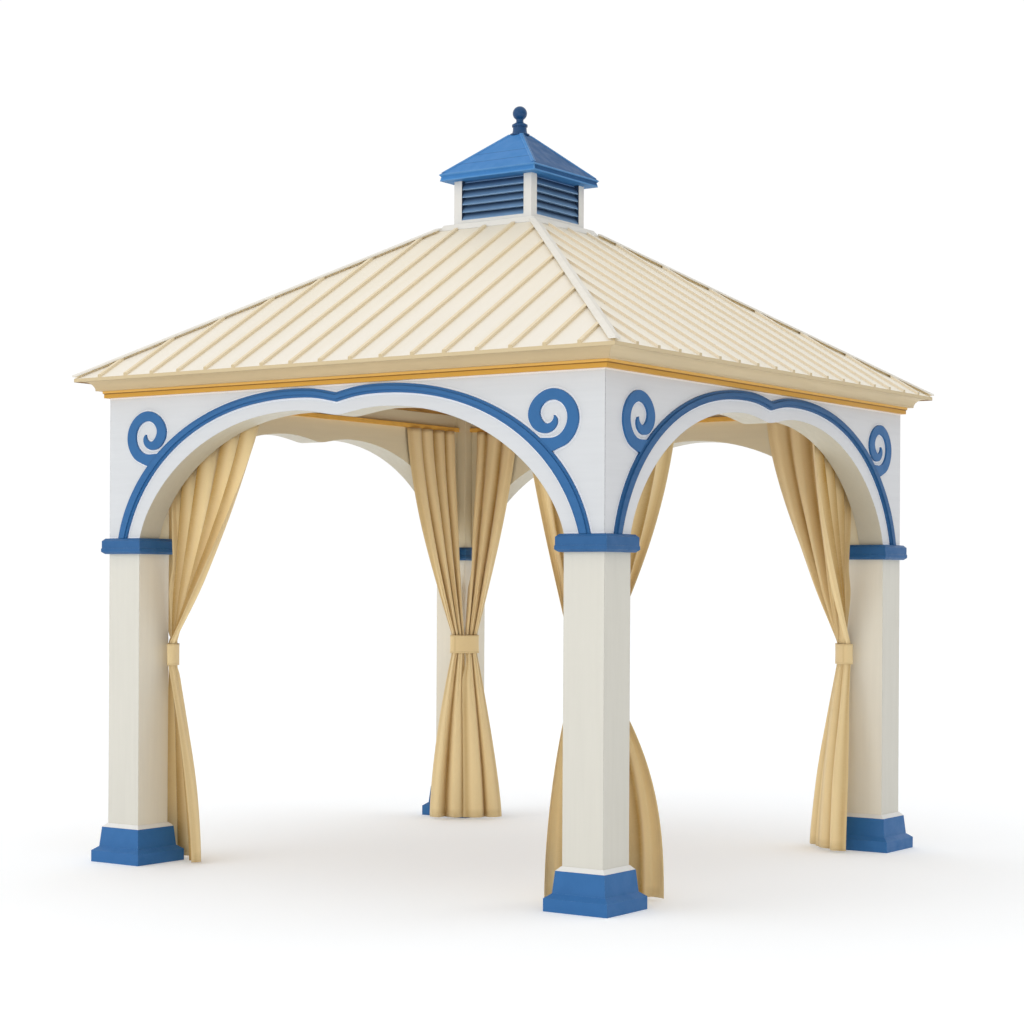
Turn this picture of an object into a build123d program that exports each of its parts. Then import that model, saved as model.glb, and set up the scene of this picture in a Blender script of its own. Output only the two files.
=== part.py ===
import os
from math import cos, radians, sin, sqrt, tan

from build123d import *

os.makedirs("parts", exist_ok=True)

# Plan: a square of four walls on four corner posts, centred on the origin, floor at zero height
wall_width = 3400.0
wall_thickness = 160.0
post_width = 240.0
wall_half = wall_width / 2
wall_inner = wall_half - wall_thickness
post_inner = wall_half - post_width
post_centre = wall_half - post_width / 2

# Heights of the posts and the walls
spring_height = 1870.0
wall_height = 915.0
wall_top = spring_height + wall_height

# Plinths and the bevelled collars on top of them
plinth_height = 200.0
plinth_block_height = 65.0
plinth_step_height = 24.0
plinth_overhang = 68.0
plinth_step_overhang = 36.0
plinth_top_overhang = 25.0
collar_height = 22.0
collar_top_overhang = 3.0

# Capitals
capital_height = 90.0
capital_overhang = 35.0
capital_top_bevel = 15.0
capital_top_inset = 18.0
capital_foot_bevel = 13.0
capital_foot_inset = 16.0
capital_groove_rise = 30.0
capital_groove_height = 4.0
capital_groove_depth = 3.0

# Arches: shares of the half span and of the rise for the crown and for the tangents of each curve
arch_rise = 684.0
cusp_drop = 34.0
band_inner_margin = 145.0
band_outer_margin = 80.0
band_inner_rise = 753.0
band_outer_rise = 803.0
opening_shares = (0.2055, 0.0575, 0.469, 0.435)
band_inner_shares = (0.193, 0.072, 0.546, 0.454)
band_outer_shares = (0.185, 0.0605, 0.576, 0.428)
blunt_shares = (0.089, 0.041, 0.0)
notch_shares = (0.089, 0.068, 0.65)
band_base_depth = 12.0
band_ridge_depth = 8.0
band_ridge_inset = 14.0

# Scrolls: outline shares of the scroll size, from the tail round to the tip and back
scroll_size = 300.0
scroll_depth = 12.0
scroll_corner_gap = 301.5
scroll_drop = 228.0
scroll_outer_shares = [
    (-0.162, -0.600), (-0.035, -0.580), (0.108, -0.530), (0.285, -0.450), (0.372, -0.370),
    (0.442, -0.270), (0.502, -0.030), (0.428, 0.213), (0.242, 0.393), (0.012, 0.467),
    (-0.228, 0.417), (-0.425, 0.260), (-0.502, 0.040), (-0.432, -0.143), (-0.262, -0.260),
    (-0.038, -0.247), (0.075, -0.123), (0.078, -0.050), (0.015, 0.023),
]
scroll_inner_shares = [
    (0.015, 0.023), (-0.022, -0.077), (-0.128, -0.117), (-0.245, -0.017), (-0.272, 0.060),
    (-0.202, 0.213), (0.005, 0.277), (0.208, 0.180), (0.285, -0.007), (0.228, -0.203),
    (0.078, -0.330), (-0.072, -0.357), (-0.258, -0.350), (-0.395, -0.367),
]

# Frieze board and cornice under the eave
frieze_height = 40.0
frieze_depth = 26.0
frieze_nose_height = 15.0
frieze_nose_depth = 6.0
cornice_height = 62.0
cornice_foot_depth = 61.0
cornice_depth = 125.0
cornice_lip = 9.0
cornice_hollow = 9.0
frieze_top = wall_top - cornice_height
frieze_bottom = frieze_top - frieze_height

# Main roof
roof_pitch = 31.6
roof_thickness = 20.0
eave_overhang = 22.0
rib_count = 17
rib_width = 24.0
rib_height = 16.0
rib_clearance = 10.0
hip_cap_width = 58.0
hip_cap_thickness = 8.0
hip_cap_tip = 8.0
hip_rafter_width = 60.0
hip_rafter_depth = 110.0
roof_slope = tan(radians(roof_pitch))
cornice_half = wall_half + cornice_depth
eave_half = cornice_half + eave_overhang
rib_pitch = 2 * eave_half / (rib_count + 1)

# Cupola
cupola_half = 279.0
cupola_height = 263.0
cupola_post = 56.0
cupola_rail = 28.0
skirt_reach = 68.0
skirt_top_reach = 44.0
skirt_cover = 20.0
curb_reach = 39.0
curb_drop = 130.0
skirt_half = cupola_half + skirt_reach
skirt_top_half = cupola_half + skirt_top_reach
curb_half = cupola_half + curb_reach
curb_inner = cupola_half - cupola_post
slat_count = 5
slat_run = 29.0
slat_thickness = 7.0
slat_angle = 60.0
slat_setback = 6.0
slat_margin = 1.0
cap_foot_half = 341.0
cap_neck_half = 335.0
cap_nose_half = 346.0
cap_neck_rise = 25.0
cap_nose_rise = 13.0
cap_eave_rise = 9.0
cap_slope_rise = 243.0
cap_top_half = 50.0
cap_shell = 24.0
cap_ridge_width = 26.0
cap_ridge_height = 5.0

# Finial
finial_foot = 59.0
finial_foot_height = 9.0
finial_step = 5.0
finial_waist = 41.0
finial_collar = 47.0
finial_neck = 22.0
finial_taper_height = 54.0
finial_collar_height = 12.0
finial_shoulder_height = 16.0
finial_neck_height = 16.0
finial_ball = 43.0

# Curtain rails, curtains and their ties
rail_height = 28.0
rail_depth = 28.0
rail_drop = 99.0
cloth_clearance = 0.3
curtain_thickness = 40.0
curtain_wall_gap = 5.0
bunch_width = 190.0
bunch_depth = 46.0
bunch_gap = 12.0
hem_depth = 95.0
hem_gap = 6.0
knee_gap = 10.0
knee_share = 0.56
flare_share = 0.62
flare_rise_share = 0.55
hem_height = 12.0
tie_height = 125.0
tie_centre = 1200.0
tie_thickness = 8.0

# How far each panel is drawn out along its rail: on the front or back wall, then on the side wall
curtain_spans = {
    "front_left": (745.0, 640.0),
    "front_right": (350.0, 720.0),
    "back_right": (550.0, 560.0),
    "back_left": (350.0, 530.0),
}

# How far each panel opens out again at the hem, in the same order
hem_spans = {
    "front_left": (250.0, 250.0),
    "front_right": (205.0, 415.0),
    "back_right": (250.0, 250.0),
    "back_left": (250.0, 250.0),
}

# How far the end of each panel's hem turns back towards the post, in the same order
hem_turns = {
    "front_left": (0.0, 150.0),
    "front_right": (0.0, 60.0),
    "back_right": (0.0, 60.0),
    "back_left": (0.0, 60.0),
}

sides = (("front", 0), ("right", 90), ("back", 180), ("left", 270))
corners = (("front_left", -1, -1), ("front_right", 1, -1), ("back_right", 1, 1), ("back_left", -1, 1))
wall_face = Plane(origin=(0, -wall_half, 0), x_dir=(1, 0, 0), z_dir=(0, -1, 0))
wall_back = Plane(origin=(0, -wall_inner, 0), x_dir=(1, 0, 0), z_dir=(0, -1, 0))
cross_section = Plane(origin=(0, 0, 0), x_dir=(0, -1, 0), z_dir=(-1, 0, 0))


def roof_under(reach):
    """Height of the roof's underside at a distance from the middle of the plan."""
    return wall_top + (cornice_half - reach) * roof_slope


def roof_over(reach):
    """Height of the roof's sheet, without its ribs, at a distance from the middle."""
    return roof_under(reach) + roof_thickness


def square_stack(x, y, levels):
    """Square slices joined from level to level, each a height and a half width."""
    with BuildPart() as stack:
        for (low, low_half), (high, high_half) in zip(levels, levels[1:]):
            for height, half in ((low, low_half), (high, high_half)):
                with BuildSketch(Plane.XY.offset(height)):
                    with Locations((x, y)):
                        Rectangle(2 * half, 2 * half)
            loft(ruled=True)
    return stack.part


def mitred(profile, inner, outer):
    """Straight board of the front side with a given cross section, mitred at both corners."""
    with BuildPart() as board:
        with BuildSketch(cross_section):
            with BuildLine():
                Polyline(*profile, close=True)
            make_face()
        extrude(amount=2 * outer, both=True)
        with BuildSketch(Plane.XY):
            with BuildLine():
                Polyline((-outer, -outer), (outer, -outer), (inner, -inner), (-inner, -inner), close=True)
            make_face()
        extrude(amount=2 * roof_over(0), mode=Mode.INTERSECT)
    return board.part


def arch_points(half, rise, shares, cusp_shares):
    """Control points of the two curves of a lobe, from the springing to the crown and the cusp."""
    crown_share, lean_share, rise_share, reach_share = shares
    round_share, notch_share, dip_share = cusp_shares
    crown = half * crown_share
    top = spring_height + rise
    outer = [
        (half, spring_height),
        (half * (1 - lean_share), spring_height + rise * rise_share),
        (crown + half * reach_share, top),
        (crown, top),
    ]
    notch = [
        (crown, top),
        (crown - half * round_share, top),
        (half * notch_share, top - cusp_drop + cusp_drop * dip_share),
        (0, top - cusp_drop),
    ]
    return outer, notch


def arch_outline(half, rise, shares, cusp_shares):
    """Closed outline below a double arch, drawn inside a line builder."""
    outer, notch = arch_points(half, rise, shares, cusp_shares)
    Bezier(*outer)
    Bezier(*notch)
    Bezier(*[(-x, z) for x, z in notch])
    Bezier(*[(-x, z) for x, z in outer])
    Line((-half, spring_height), (half, spring_height))


def turned(shape, angle):
    """Copy of a front piece turned about the middle of the plan."""
    with BuildPart() as copy:
        add(shape, rotation=(0, 0, angle))
    return copy.part


def keep(shape, name):
    """Label a finished piece and write it."""
    shape.label = name
    export_step(shape, f"parts/{name}.step")


# Corner posts: a square shaft, and a slimmer post that runs on up inside the walls
for name, sx, sy in corners:
    upper = post_width - wall_thickness
    upper_centre = post_inner + upper / 2
    with BuildPart() as post:
        with Locations((sx * post_centre, sy * post_centre, spring_height / 2)):
            Box(post_width, post_width, spring_height)
        with Locations((sx * upper_centre, sy * upper_centre, spring_height + wall_height / 2)):
            Box(upper, upper, wall_height)
    keep(post.part, f"post_{name}")

# Plinths, collars and capitals are sleeves round the posts
post_half = post_width / 2
collar_top = plinth_height + collar_height
capital_foot = spring_height - capital_height
groove_foot = capital_foot + capital_groove_rise
plinth_levels = [
    (0, post_half + plinth_overhang),
    (plinth_block_height, post_half + plinth_overhang),
    (plinth_block_height + plinth_step_height, post_half + plinth_step_overhang),
    (plinth_height, post_half + plinth_top_overhang),
]
collar_levels = [
    (plinth_height, post_half + plinth_top_overhang),
    (collar_top, post_half + collar_top_overhang),
]
capital_levels = [
    (capital_foot, post_half + capital_overhang - capital_foot_inset),
    (capital_foot + capital_foot_bevel, post_half + capital_overhang),
    (groove_foot, post_half + capital_overhang),
    (groove_foot + capital_groove_height, post_half + capital_overhang - capital_groove_depth),
    (spring_height - capital_top_bevel, post_half + capital_overhang - capital_groove_depth),
    (spring_height, post_half + capital_overhang - capital_top_inset),
]
sleeve_sets = (("plinths", plinth_levels), ("collars", collar_levels), ("capitals", capital_levels))
for name, levels in sleeve_sets:
    stacks = [square_stack(sx * post_centre, sy * post_centre, levels) for _, sx, sy in corners]
    with BuildPart() as sleeves:
        for stack in stacks:
            add(stack)
        with Locations(*[(sx * post_centre, sy * post_centre, 0) for _, sx, sy in corners]):
            Box(post_width, post_width, 2 * spring_height, mode=Mode.SUBTRACT)
    keep(sleeves.part, name)

# Arch panel of the front side, mitred into its neighbours
with BuildPart() as front_panel:
    with BuildSketch(wall_back):
        with Locations((0, spring_height + wall_height / 2)):
            Rectangle(wall_width, wall_height)
        with BuildLine():
            arch_outline(post_inner, arch_rise, opening_shares, blunt_shares)
        make_face(mode=Mode.SUBTRACT)
    extrude(amount=wall_thickness)
    with BuildSketch(Plane.XY):
        with BuildLine():
            Polyline(
                (-wall_half, -wall_half), (wall_half, -wall_half), (wall_inner, -wall_inner),
                (-wall_inner, -wall_inner), close=True,
            )
        make_face()
    extrude(amount=wall_top, mode=Mode.INTERSECT)

# Raised moulding that follows the arch: a flat band with a narrower ridge on it
band_low = wall_half - band_inner_margin
band_high = wall_half - band_outer_margin
with BuildPart() as front_moulding:
    for depth, inset in ((band_base_depth, 0), (band_base_depth + band_ridge_depth, band_ridge_inset)):
        with BuildSketch(wall_face):
            with BuildLine():
                arch_outline(band_high - inset, band_outer_rise - inset, band_outer_shares, notch_shares)
            make_face()
            with BuildLine():
                arch_outline(band_low + inset, band_inner_rise + inset, band_inner_shares, notch_shares)
            make_face(mode=Mode.SUBTRACT)
        extrude(amount=depth)

# Scrolls beside the arch, trimmed where their tails run into the moulding
scroll_x = wall_half - scroll_corner_gap
scroll_z = frieze_bottom - scroll_drop
with BuildPart() as front_scrolls:
    for hand in (-1, 1):
        outer_line, inner_line = [
            [(hand * (scroll_x + u * scroll_size), scroll_z + v * scroll_size) for u, v in shares]
            for shares in (scroll_outer_shares, scroll_inner_shares)
        ]
        with BuildSketch(wall_face):
            with BuildLine():
                Spline(*outer_line)
                Spline(*inner_line)
                Line(inner_line[-1], outer_line[0])
            make_face()
        extrude(amount=scroll_depth)
    with BuildSketch(wall_face):
        with BuildLine():
            arch_outline(band_high, band_outer_rise, band_outer_shares, notch_shares)
        make_face()
    extrude(amount=2 * scroll_depth, mode=Mode.SUBTRACT)

# Frieze board and cornice, each with one cross section carried round the four sides
frieze_profile = [
    (wall_half, frieze_bottom),
    (wall_half + frieze_depth, frieze_bottom),
    (wall_half + frieze_depth, frieze_top - frieze_nose_height),
    (wall_half + frieze_depth + frieze_nose_depth, frieze_top - frieze_nose_height),
    (wall_half + frieze_depth + frieze_nose_depth, frieze_top),
    (wall_half, frieze_top),
]
front_frieze = mitred(frieze_profile, wall_half, wall_half + frieze_depth + frieze_nose_depth)

cove_foot = (wall_half + cornice_foot_depth, frieze_top + cornice_lip)
cove_top = (cornice_half - cornice_lip, wall_top - cornice_lip)
cove_middle = (
    (cove_foot[0] + cove_top[0]) / 2 - cornice_hollow,
    (cove_foot[1] + cove_top[1]) / 2 + cornice_hollow,
)
with BuildPart() as front_cornice:
    with BuildSketch(cross_section):
        with BuildLine():
            Polyline((wall_half, frieze_top), (cove_foot[0], frieze_top), cove_foot)
            ThreePointArc(cove_foot, cove_middle, cove_top)
            Polyline(
                cove_top, (cornice_half, cove_top[1]), (cornice_half, wall_top),
                (wall_half, roof_under(wall_half)), (wall_half, frieze_top),
            )
        make_face()
    extrude(amount=cornice_half, both=True)
    with BuildSketch(Plane.XY):
        with BuildLine():
            Polyline(
                (-cornice_half, -cornice_half), (cornice_half, -cornice_half), (wall_half, -wall_half),
                (-wall_half, -wall_half), close=True,
            )
        make_face()
    extrude(amount=roof_over(0), mode=Mode.INTERSECT)

# Wall plates carry the roof on top of the walls
plate_profile = [
    (wall_half, wall_top),
    (wall_half, roof_under(wall_half)),
    (wall_inner, roof_under(wall_inner)),
    (wall_inner, wall_top),
]
front_plate = mitred(plate_profile, wall_inner, wall_half)

# Roof panel: a sloping sheet mitred at the hips, with standing ribs up the slope
sheet_profile = [
    (eave_half, roof_under(eave_half)),
    (eave_half, roof_over(eave_half)),
    (curb_half, roof_over(curb_half)),
    (curb_half, roof_under(curb_half)),
]
front_sheet = mitred(sheet_profile, curb_half, eave_half)
with BuildPart() as front_roof:
    add(front_sheet)
    for number in range(rib_count):
        rib_x = (number - (rib_count - 1) / 2) * rib_pitch
        rib_end = max(abs(rib_x) + rib_width / 2 + rib_clearance, skirt_half + rib_clearance)
        with BuildSketch(Plane(origin=(rib_x, 0, 0), x_dir=(0, -1, 0), z_dir=(-1, 0, 0))):
            with BuildLine():
                Polyline(
                    (eave_half, roof_over(eave_half)), (eave_half, roof_over(eave_half) + rib_height),
                    (rib_end, roof_over(rib_end) + rib_height), (rib_end, roof_over(rib_end)), close=True,
                )
            make_face()
        extrude(amount=rib_width / 2, both=True)

# The four sides repeat the front pieces
front_pieces = (
    ("arch_panel", front_panel.part),
    ("arch_moulding", front_moulding.part),
    ("frieze", front_frieze),
    ("cornice", front_cornice.part),
    ("wall_plate", front_plate),
    ("roof_panel", front_roof.part),
)
for piece, shape in front_pieces:
    for side, angle in sides:
        keep(turned(shape, angle), f"{piece}_{side}")

with BuildPart() as scrolls:
    for side, angle in sides:
        add(front_scrolls.part, rotation=(0, 0, angle))
keep(scrolls.part, "scrolls")

# Hip caps lie on the ribs, and hip rafters under the sheet, along the four diagonals
cap_half = eave_half + hip_cap_tip
cap_inner = skirt_half + rib_clearance
cap_low = roof_over(0) + rib_height
cap_high = cap_low + hip_cap_thickness
fall = roof_slope * 2 * cap_half
cap_rise = roof_slope * cap_inner / 2
over_cap, under_cap = [
    square_stack(0, 0, [(peak - fall, 2 * cap_half), (peak - cap_rise, cap_inner / 2)])
    for peak in (cap_high, cap_low)
]
with BuildPart() as hip_caps:
    add(over_cap)
    add(under_cap, mode=Mode.SUBTRACT)
    with BuildSketch(Plane.XY):
        for angle in (45, 135):
            Rectangle(4 * cap_half, hip_cap_width, rotation=angle)
        Rectangle(2 * cap_half, 2 * cap_half, mode=Mode.INTERSECT)
        Rectangle(2 * cap_inner, 2 * cap_inner, mode=Mode.SUBTRACT)
    extrude(amount=2 * cap_high, mode=Mode.INTERSECT)
keep(hip_caps.part, "hip_caps")

rafter_top = roof_under(0)
rafter_low = rafter_top - hip_rafter_depth
curb_rise = roof_slope * curb_half / 2
under_sheet, under_rafter = [
    square_stack(0, 0, [(peak - fall, 2 * cap_half), (peak - curb_rise, curb_half / 2)])
    for peak in (rafter_top, rafter_low)
]
with BuildPart() as hip_rafters:
    add(under_sheet)
    add(under_rafter, mode=Mode.SUBTRACT)
    with BuildSketch(Plane.XY):
        for angle in (45, 135):
            Rectangle(4 * cap_half, hip_rafter_width, rotation=angle)
        Rectangle(2 * wall_inner, 2 * wall_inner, mode=Mode.INTERSECT)
        Rectangle(2 * curb_half, 2 * curb_half, mode=Mode.SUBTRACT)
    extrude(amount=2 * rafter_top, mode=Mode.INTERSECT)
keep(hip_rafters.part, "hip_rafters")

# Cupola base: a curb through the roof's opening with a flared skirt on the slopes
skirt_foot = roof_over(skirt_half)
cupola_floor = roof_over(curb_half) + skirt_cover
curb_foot = roof_under(curb_half) - curb_drop
skirt_shape = square_stack(0, 0, [(skirt_foot, skirt_half), (cupola_floor, skirt_top_half)])
curb_shape = square_stack(0, 0, [(curb_foot, curb_half), (cupola_floor, curb_half)])
roof_solid = square_stack(0, 0, [(roof_over(eave_half), eave_half), (roof_over(curb_half), curb_half)])
with BuildPart() as cupola_base:
    add(skirt_shape)
    add(roof_solid, mode=Mode.SUBTRACT)
    add(curb_shape)
    with Locations((0, 0, cupola_floor)):
        Box(2 * curb_inner, 2 * curb_inner, cupola_floor, mode=Mode.SUBTRACT)
keep(cupola_base.part, "cupola_base")

# Cupola frame: four posts on a bottom rail
cupola_eave = cupola_floor + cupola_height
louvre_height = cupola_height - cupola_rail
with BuildPart() as cupola_frame:
    with Locations((0, 0, cupola_floor + cupola_height / 2)):
        Box(2 * cupola_half, 2 * cupola_half, cupola_height)
        Box(2 * curb_inner, 2 * curb_inner, cupola_height, mode=Mode.SUBTRACT)
    with Locations((0, 0, cupola_eave - louvre_height / 2)):
        Box(4 * cupola_half, 2 * curb_inner, louvre_height, mode=Mode.SUBTRACT)
        Box(2 * curb_inner, 4 * cupola_half, louvre_height, mode=Mode.SUBTRACT)
keep(cupola_frame.part, "cupola_frame")

# Louvre slats, each leaning down and out between two posts
slat_tilt = radians(slat_angle)
slat_rise = slat_run * tan(slat_tilt) + slat_thickness * cos(slat_tilt)
slat_pitch = (louvre_height - 2 * slat_margin - slat_rise) / (slat_count - 1)
slat_low = cupola_floor + cupola_rail + slat_margin + slat_rise / 2
slat_middle = cupola_half - slat_setback - slat_run / 2
with BuildPart() as cupola_louvres:
    for _, angle in sides:
        turn = radians(angle)
        for number in range(slat_count):
            slat_z = slat_low + number * slat_pitch
            slat_place = Location((slat_middle * sin(turn), -slat_middle * cos(turn), slat_z), (0, 0, angle))
            with Locations(slat_place * Location((0, 0, 0), (slat_angle, 0, 0))):
                Box(2 * curb_inner, slat_run / cos(slat_tilt), slat_thickness)
keep(cupola_louvres.part, "cupola_louvres")

# Cupola roof: a pyramid over a two-step fascia, open underneath to the louvred box
cap_neck = cupola_eave + cap_neck_rise
cap_nose = cap_neck + cap_nose_rise
cap_eave = cap_nose + cap_eave_rise
cap_top = cap_eave + cap_slope_rise
cap_levels = [
    (cupola_eave, cap_foot_half), (cap_neck, cap_neck_half), (cap_nose, cap_nose_half),
    (cap_eave, cap_neck_half), (cap_top, cap_top_half),
]
ridge_levels = [(cap_eave, cap_neck_half), (cap_top, cap_top_half)]
hollow_levels = [(cupola_eave, curb_inner), (cap_top - 2 * cap_shell, cap_top_half - cap_shell)]
cap_shape = square_stack(0, 0, cap_levels)
ridge_shape = square_stack(0, 0, [(height + cap_ridge_height, half) for height, half in ridge_levels])
hollow_shape = square_stack(0, 0, hollow_levels)
with BuildPart() as cap_ridges:
    add(ridge_shape)
    with BuildSketch(Plane.XY):
        for angle in (45, 135):
            Rectangle(4 * cap_nose_half, cap_ridge_width, rotation=angle)
        Rectangle(2 * cap_top_half, 2 * cap_top_half, mode=Mode.SUBTRACT)
    extrude(amount=2 * cap_top, mode=Mode.INTERSECT)
with BuildPart() as cupola_roof:
    add(cap_shape)
    add(cap_ridges.part)
    add(hollow_shape, mode=Mode.SUBTRACT)
keep(cupola_roof.part, "cupola_roof")

# Finial turned in one piece
foot_z = cap_top + finial_foot_height
bell_foot = finial_foot - finial_step
waist_z = cap_top + finial_taper_height
collar_z = waist_z + finial_collar_height
neck_z = collar_z + finial_shoulder_height
ball_z = neck_z + finial_neck_height + sqrt(finial_ball ** 2 - finial_neck ** 2)
with BuildPart() as finial:
    with BuildSketch(Plane.XZ):
        with BuildLine():
            Polyline(
                (0, ball_z), (0, cap_top), (finial_foot, cap_top),
                (finial_foot, foot_z), (bell_foot, foot_z),
            )
            Bezier((bell_foot, foot_z), (finial_waist, foot_z), (finial_waist, waist_z))
            Polyline(
                (finial_waist, waist_z), (finial_collar, waist_z), (finial_collar, collar_z),
                (finial_neck, neck_z), (finial_neck, ball_z), (0, ball_z),
            )
        make_face()
    revolve(axis=Axis.Z)
    with Locations((0, 0, ball_z)):
        Sphere(finial_ball)
keep(finial.part, "finial")

# Curtain rails along the inner faces of the walls, from post to post
rail_z = wall_top - rail_drop
rail_foot = rail_z - rail_height / 2
with BuildPart() as curtain_rails:
    for _, angle in sides:
        turn = radians(angle)
        reach = wall_inner - rail_depth / 2
        with Locations(Location((reach * sin(turn), -reach * cos(turn), rail_z), (0, 0, angle))):
            Box(2 * post_inner, rail_depth, rail_height)
keep(curtain_rails.part, "curtain_rails")

# Curtains: at each corner two panels fall from the rails into one tied bunch and open again to the hem
tie_top = tie_centre + tie_height / 2
tie_foot = tie_centre - tie_height / 2
bunch_centre = post_inner - (bunch_depth / 2 + bunch_gap) / sqrt(2)
plinth_inner = post_inner - plinth_overhang
hem_centre = plinth_inner - (hem_depth / 2 + hem_gap) / sqrt(2)
curtain_near = post_inner - capital_overhang - curtain_wall_gap
curtain_out = wall_inner - curtain_wall_gap
knee_height = spring_height - capital_height - knee_gap
flare_height = hem_height + (tie_foot - hem_height) * flare_rise_share


def half_slab(sx, sy, centre, width, depth, turn, way):
    """Corners of one panel's section, which starts on the diagonal of a corner and turns back at its end."""
    along = (sx * way / sqrt(2), -sy * way / sqrt(2))
    inward = (-sx / sqrt(2), -sy / sqrt(2))
    near, far = depth / 2, -depth / 2
    corners_uv = ((width, far - turn), (0, far), (0, near), (width, near - turn))
    points = [
        (sx * centre + along[0] * u + inward[0] * v, sy * centre + along[1] * u + inward[1] * v)
        for u, v in corners_uv
    ]
    return points if way < 0 else [points[1], points[0], points[3], points[2]]


def drawn_in(high_points, low_points, share):
    """Corners part of the way from a section down to the next."""
    pairs = zip(high_points, low_points)
    return [(a + (c - a) * share, b + (d - b) * share) for (a, b), (c, d) in pairs]


def slab_loft(sections):
    """Ruled solid through closed four-cornered sections, each a height and its corners."""
    with BuildPart() as slab:
        for (low, low_points), (high, high_points) in zip(sections, sections[1:]):
            for height, points in ((low, low_points), (high, high_points)):
                with BuildSketch(Plane.XY.offset(height)):
                    with BuildLine():
                        Polyline(*points, close=True)
                    make_face()
            loft(ruled=True)
    return slab.part


for name, sx, sy in corners:
    curtain_top = rail_foot - cloth_clearance
    near_x, near_y = sx * curtain_near, sy * curtain_near
    far_x, far_y = [sign * (curtain_near - span) for sign, span in zip((sx, sy), curtain_spans[name])]
    out_x, out_y = sx * curtain_out, sy * curtain_out
    face_x, face_y = [sign * (curtain_out - curtain_thickness) for sign in (sx, sy)]
    along_x = [(far_x, out_y), (near_x, out_y), (near_x, face_y), (far_x, face_y)]
    along_y = [(out_x, near_y), (out_x, far_y), (face_x, far_y), (face_x, near_y)]
    half_x, half_y = [
        half_slab(sx, sy, bunch_centre, bunch_width / 2, bunch_depth, 0, way) for way in (-1, 1)
    ]
    hem_x, hem_y = [
        half_slab(sx, sy, hem_centre, span, hem_depth, turn, way)
        for span, turn, way in zip(hem_spans[name], hem_turns[name], (-1, 1))
    ]
    flare_x, flare_y = drawn_in(half_x, hem_x, flare_share), drawn_in(half_y, hem_y, flare_share)
    knee_x, knee_y = drawn_in(along_x, half_x, knee_share), drawn_in(along_y, half_y, knee_share)
    knee_x = [(sx * min(abs(x), curtain_near), y) for x, y in knee_x]
    knee_y = [(x, sy * min(abs(y), curtain_near)) for x, y in knee_y]
    levels = (hem_height, flare_height, tie_foot, tie_top, knee_height, curtain_top)
    panel_x = slab_loft(list(zip(levels, (hem_x, flare_x, half_x, half_x, knee_x, along_x))))
    panel_y = slab_loft(list(zip(levels, (hem_y, flare_y, half_y, half_y, knee_y, along_y))))
    with BuildPart() as curtain:
        add(panel_x)
        add(panel_y)
    keep(curtain.part, f"curtain_{name}")

# Tie bands round the bunches
inner_width = bunch_width + 2 * cloth_clearance
inner_depth = bunch_depth + 2 * cloth_clearance
with BuildPart() as curtain_ties:
    for _, sx, sy in corners:
        with BuildSketch(Plane.XY.offset(tie_foot)):
            with Locations(Location((sx * bunch_centre, sy * bunch_centre, 0), (0, 0, -45 * sx * sy))):
                Rectangle(inner_width + 2 * tie_thickness, inner_depth + 2 * tie_thickness)
                Rectangle(inner_width, inner_depth, mode=Mode.SUBTRACT)
        extrude(amount=tie_height)
keep(curtain_ties.part, "curtain_ties")
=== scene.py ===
import math
import random

import bmesh
import bpy
from mathutils import Matrix, Vector


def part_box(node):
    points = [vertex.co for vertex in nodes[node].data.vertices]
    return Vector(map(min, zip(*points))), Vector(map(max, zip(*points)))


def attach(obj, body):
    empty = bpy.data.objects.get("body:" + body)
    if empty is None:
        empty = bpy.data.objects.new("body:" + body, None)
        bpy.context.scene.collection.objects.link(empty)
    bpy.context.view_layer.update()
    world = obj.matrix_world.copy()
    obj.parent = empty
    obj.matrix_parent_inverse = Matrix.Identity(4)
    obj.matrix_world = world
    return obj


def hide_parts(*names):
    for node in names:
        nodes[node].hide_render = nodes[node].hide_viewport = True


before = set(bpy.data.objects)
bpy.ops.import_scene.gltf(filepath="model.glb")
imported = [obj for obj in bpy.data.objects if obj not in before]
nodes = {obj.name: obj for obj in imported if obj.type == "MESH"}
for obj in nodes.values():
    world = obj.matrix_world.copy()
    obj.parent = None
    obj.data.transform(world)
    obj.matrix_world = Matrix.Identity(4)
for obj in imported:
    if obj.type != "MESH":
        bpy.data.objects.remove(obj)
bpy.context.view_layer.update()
scene = bpy.context.scene

# Sizes that the pieces share with the part, in metres
WALL_INNER = 1.540
RAIL_FOOT = 2.672
RIB_PITCH = 2 * 1.847 / 18
RIB_HALF = 0.0125
TIE_CENTRE = 1.200
TIE_HEIGHT = 0.125
BUNCH_CENTRE = 1.4353
BUNCH_WIDTH = 0.190
BUNCH_DEPTH = 0.046
HEM_CENTRE = 1.3542
HEM_HEIGHT = 0.014
UPPER_POST = (1.80, 3.50)
FRIEZE_NOSE, FRIEZE_TOP = 2.708, 2.800
ROOF_FOOT, ROOF_TOP = 2.90, 3.75
CAP_LINES = (4.117, 4.177)
SLAT_DROP = 0.0537

# Corners of the plan, as the signs of x and y
CORNERS = {"front_left": (-1, -1), "front_right": (1, -1), "back_right": (1, 1), "back_left": (-1, 1)}

# Each corner has a panel on the front or back wall and one on the side wall; the pairs below are in that order.
# Width along the rail, and width of the hem
SPANS = {
    "front_left": (0.745, 0.640),
    "front_right": (0.350, 0.720),
    "back_right": (0.550, 0.560),
    "back_left": (0.350, 0.530),
}
HEM_SPANS = {
    "front_left": (0.250, 0.250),
    "front_right": (0.205, 0.415),
    "back_right": (0.250, 0.250),
    "back_left": (0.250, 0.250),
}
# How far the outer end of the hem turns back towards the corner
HEM_TURNS = {
    "front_left": (0.0, 0.150),
    "front_right": (0.0, 0.060),
    "back_right": (0.0, 0.040),
    "back_left": (0.0, 0.060),
}
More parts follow.
